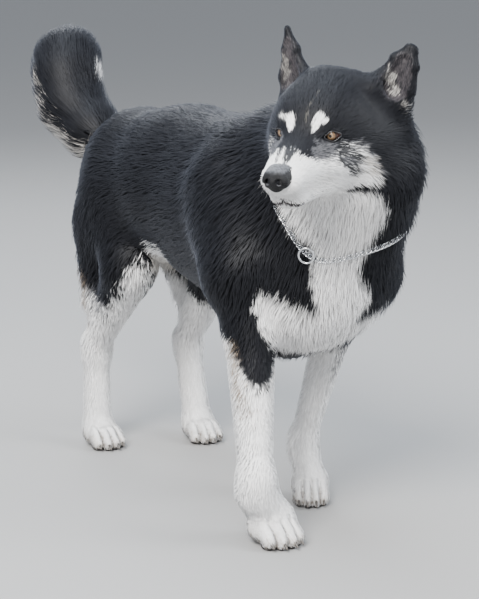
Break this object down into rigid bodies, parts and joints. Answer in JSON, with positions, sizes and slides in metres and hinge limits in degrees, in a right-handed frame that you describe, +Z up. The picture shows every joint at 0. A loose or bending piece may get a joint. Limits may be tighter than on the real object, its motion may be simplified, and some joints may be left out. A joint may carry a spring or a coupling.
{
  "type": "siberian husky",
  "caption": "Life-size still model of a Siberian husky standing on four paws, head turned to its right, tail curled up, wearing a steel chain collar.",
  "frame": {"origin": "on the floor, at the middle of the bounding box seen from above", "axes": "+Z up; the body faces -Y, so the tail is towards +Y; +X is the dog's left side and -X its right side; metres"},
  "size_m": [0.3507, 1.082, 0.7563],
  "materials": {
    "coat_black": "black double coat, soft guard hair with a cool sheen",
    "coat_white": "off-white double coat, slightly creamy",
    "nose_leather": "pebbled black nose leather, moist",
    "eye": "polished amber-brown iris under a clear cornea",
    "claw_horn": "dark horn, slightly glossy",
    "chain_steel": "bright steel, polished links"
  },
  "bodies": {
    "root": {"chain_ring": "chain_steel", "chest": "coat_black", "ear_left": "coat_black", "ear_right": "coat_black", "eye_left": "eye", "eye_right": "eye", "foreclaw_left_1": "claw_horn", "foreclaw_left_2": "claw_horn", "foreclaw_left_3": "claw_horn", "foreclaw_left_4": "claw_horn", "foreclaw_right_1": "claw_horn", "foreclaw_right_2": "claw_horn", "foreclaw_right_3": "claw_horn", "foreclaw_right_4": "claw_horn", "foreleg_left": "coat_white", "foreleg_right": "coat_white", "forepaw_left": "coat_white", "forepaw_right": "coat_white", "head": "coat_black", "hindclaw_left_1": "claw_horn", "hindclaw_left_2": "claw_horn", "hindclaw_left_3": "claw_horn", "hindclaw_left_4": "claw_horn", "hindclaw_right_1": "claw_horn", "hindclaw_right_2": "claw_horn", "hindclaw_right_3": "claw_horn", "hindclaw_right_4": "claw_horn", "hindpaw_left": "coat_white", "hindpaw_right": "coat_white", "hock_left": "coat_white", "hock_right": "coat_white", "loin": "coat_black", "lower_jaw": "coat_white", "neck": "coat_black", "neck_chain": "chain_steel", "nose": "nose_leather", "rump": "coat_black", "tail_plume": "coat_black", "tail_root": "coat_black", "tail_tip": "coat_black", "thigh_left": "coat_black", "thigh_right": "coat_black"}
  },
  "joints": []
}
